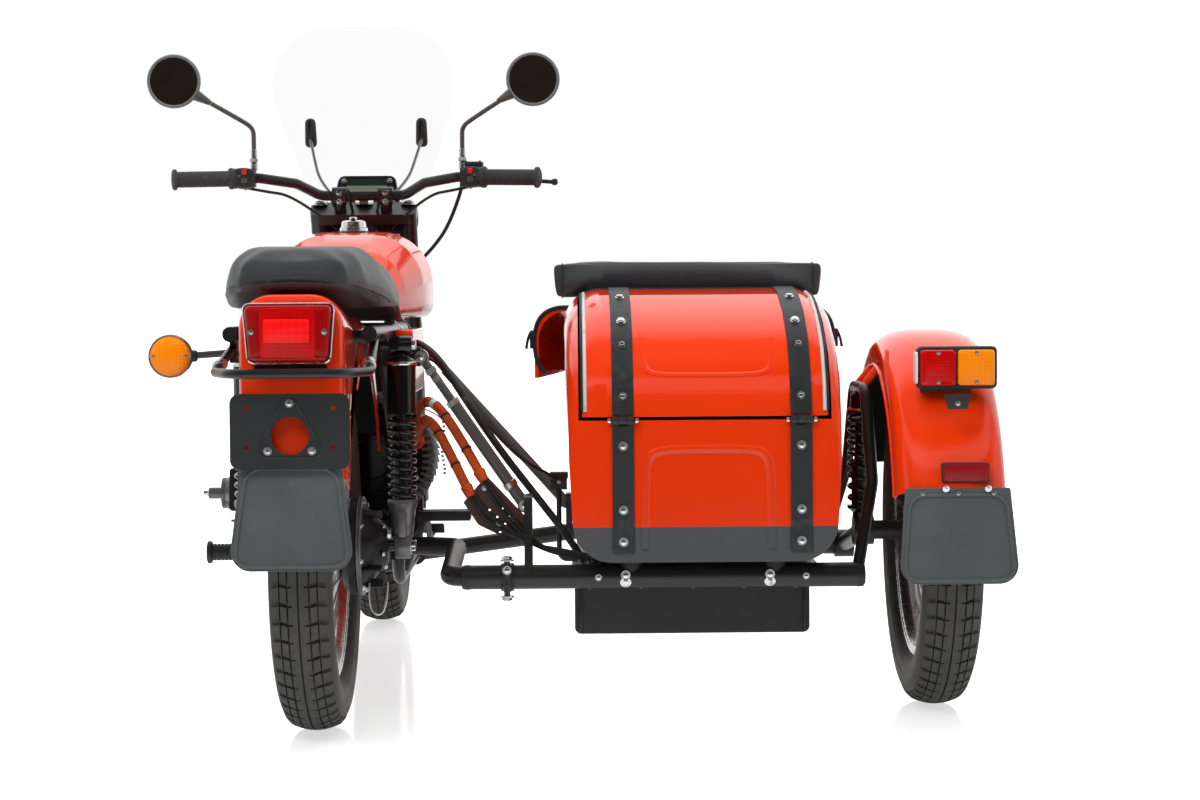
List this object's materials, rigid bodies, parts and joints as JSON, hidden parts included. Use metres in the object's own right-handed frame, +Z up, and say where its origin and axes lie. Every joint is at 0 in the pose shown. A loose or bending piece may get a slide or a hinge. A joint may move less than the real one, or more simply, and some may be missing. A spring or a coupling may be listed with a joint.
{
  "type": "sidecar motorcycle",
  "caption": "Electric solo motorcycle with a sprung sidecar: steered front wheel, spoked wheels that roll and a hinged trunk lid behind the open passenger cockpit.",
  "frame": {"origin": "bottom centre of the box round the whole outfit, on the floor", "axes": "+Y forward, +X towards the sidecar side, +Z up"},
  "size_m": [1.676, 2.315, 1.3839],
  "materials": {
    "orange_paint": "gloss",
    "black_paint": "satin",
    "spring_steel": "satin",
    "cast_aluminium": "cast",
    "wheel_metal": "polished",
    "tyre_rubber": "matte",
    "black_rubber": "matte",
    "black_plastic": "satin",
    "black_vinyl": "satin grained vinyl",
    "red_lens": "gloss",
    "lamp_plastic": "gloss",
    "clear_screen": "clear",
    "bright_steel": "polished",
    "mirror_case": "satin",
    "bronze_plate": "matte",
    "orange_conduit": "satin"
  },
  "bodies": {
    "chassis": {"tank": "orange_paint", "side_panels": "orange_paint", "rear_fender": "orange_paint", "sidecar_tub": "orange_paint", "tub_cowl": "orange_paint", "sidecar_fender": "orange_paint", "bike_frame": "black_paint", "swing_arm": "black_paint", "final_drive": "black_paint", "grab_rail": "black_paint", "plate_bracket": "black_paint", "sidecar_frame": "black_paint", "sidecar_swing_arm": "black_paint", "tub_straps": "black_paint", "sidecar_struts": "black_paint", "underfloor_locker": "black_paint", "rear_shock_left": "spring_steel", "rear_shock_right": "spring_steel", "sidecar_shock": "spring_steel", "foot_controls": "spring_steel", "drive_motor": "cast_aluminium", "gear_case": "cast_aluminium", "rear_flap": "black_rubber", "sidecar_flap": "black_rubber", "tub_mounts": "black_rubber", "hoses": "black_rubber", "battery_pack": "black_plastic", "relay_box": "black_plastic", "seat": "black_vinyl", "seat_back": "black_vinyl", "seat_cushion": "black_vinyl", "tail_lamp": "red_lens", "reflector": "red_lens", "sidecar_lamp": "lamp_plastic", "turn_signal": "lamp_plastic", "tank_cap": "bright_steel", "drive_shaft": "bright_steel", "harness_plate": "bronze_plate", "conduits": "orange_conduit"},
    "steering": {"fork": "black_paint", "front_links": "black_paint", "front_dampers": "spring_steel", "front_fender": "orange_paint", "handlebar": "black_paint", "hand_controls": "black_plastic", "mirrors": "mirror_case", "headlamp": "black_paint", "headlamp_ears": "orange_paint", "instrument_panel": "black_plastic", "windscreen": "clear_screen", "screen_stays": "bright_steel", "bar_hose": "black_rubber"},
    "front_wheel_spinning": {"front_wheel": "wheel_metal", "front_tyre": "tyre_rubber"},
    "rear_wheel_spinning": {"rear_wheel": "wheel_metal", "rear_tyre": "tyre_rubber"},
    "sidecar_wheel_spinning": {"sidecar_wheel": "wheel_metal", "sidecar_tyre": "tyre_rubber"},
    "lid": {"trunk_lid": "orange_paint", "lid_straps": "black_paint"}
  },
  "joints": [
    {"name": "steer", "type": "hinge", "parent": "chassis", "child": "steering", "pos_m": [-0.39902, 0.38396, 0.9], "axis": [0, -0.4617, 0.887], "range_deg": [-35, 35]},
    {"name": "front_wheel_spin", "type": "hinge", "parent": "steering", "child": "front_wheel_spinning", "pos_m": [-0.39902, 0.80247, 0.329], "axis": [1, 0, 0], "continuous": true},
    {"name": "rear_wheel_spin", "type": "hinge", "parent": "chassis", "child": "rear_wheel_spinning", "pos_m": [-0.39902, -0.69753, 0.329], "axis": [1, 0, 0], "continuous": true},
    {"name": "sidecar_wheel_spin", "type": "hinge", "parent": "chassis", "child": "sidecar_wheel_spinning", "pos_m": [0.74098, -0.47253, 0.329], "axis": [1, 0, 0], "continuous": true},
    {"name": "trunk_lid_hinge", "type": "hinge", "parent": "chassis", "child": "lid", "pos_m": [0.29598, -0.81543, 0.557], "axis": [1, 0, 0], "range_deg": [0, 100]}
  ]
}
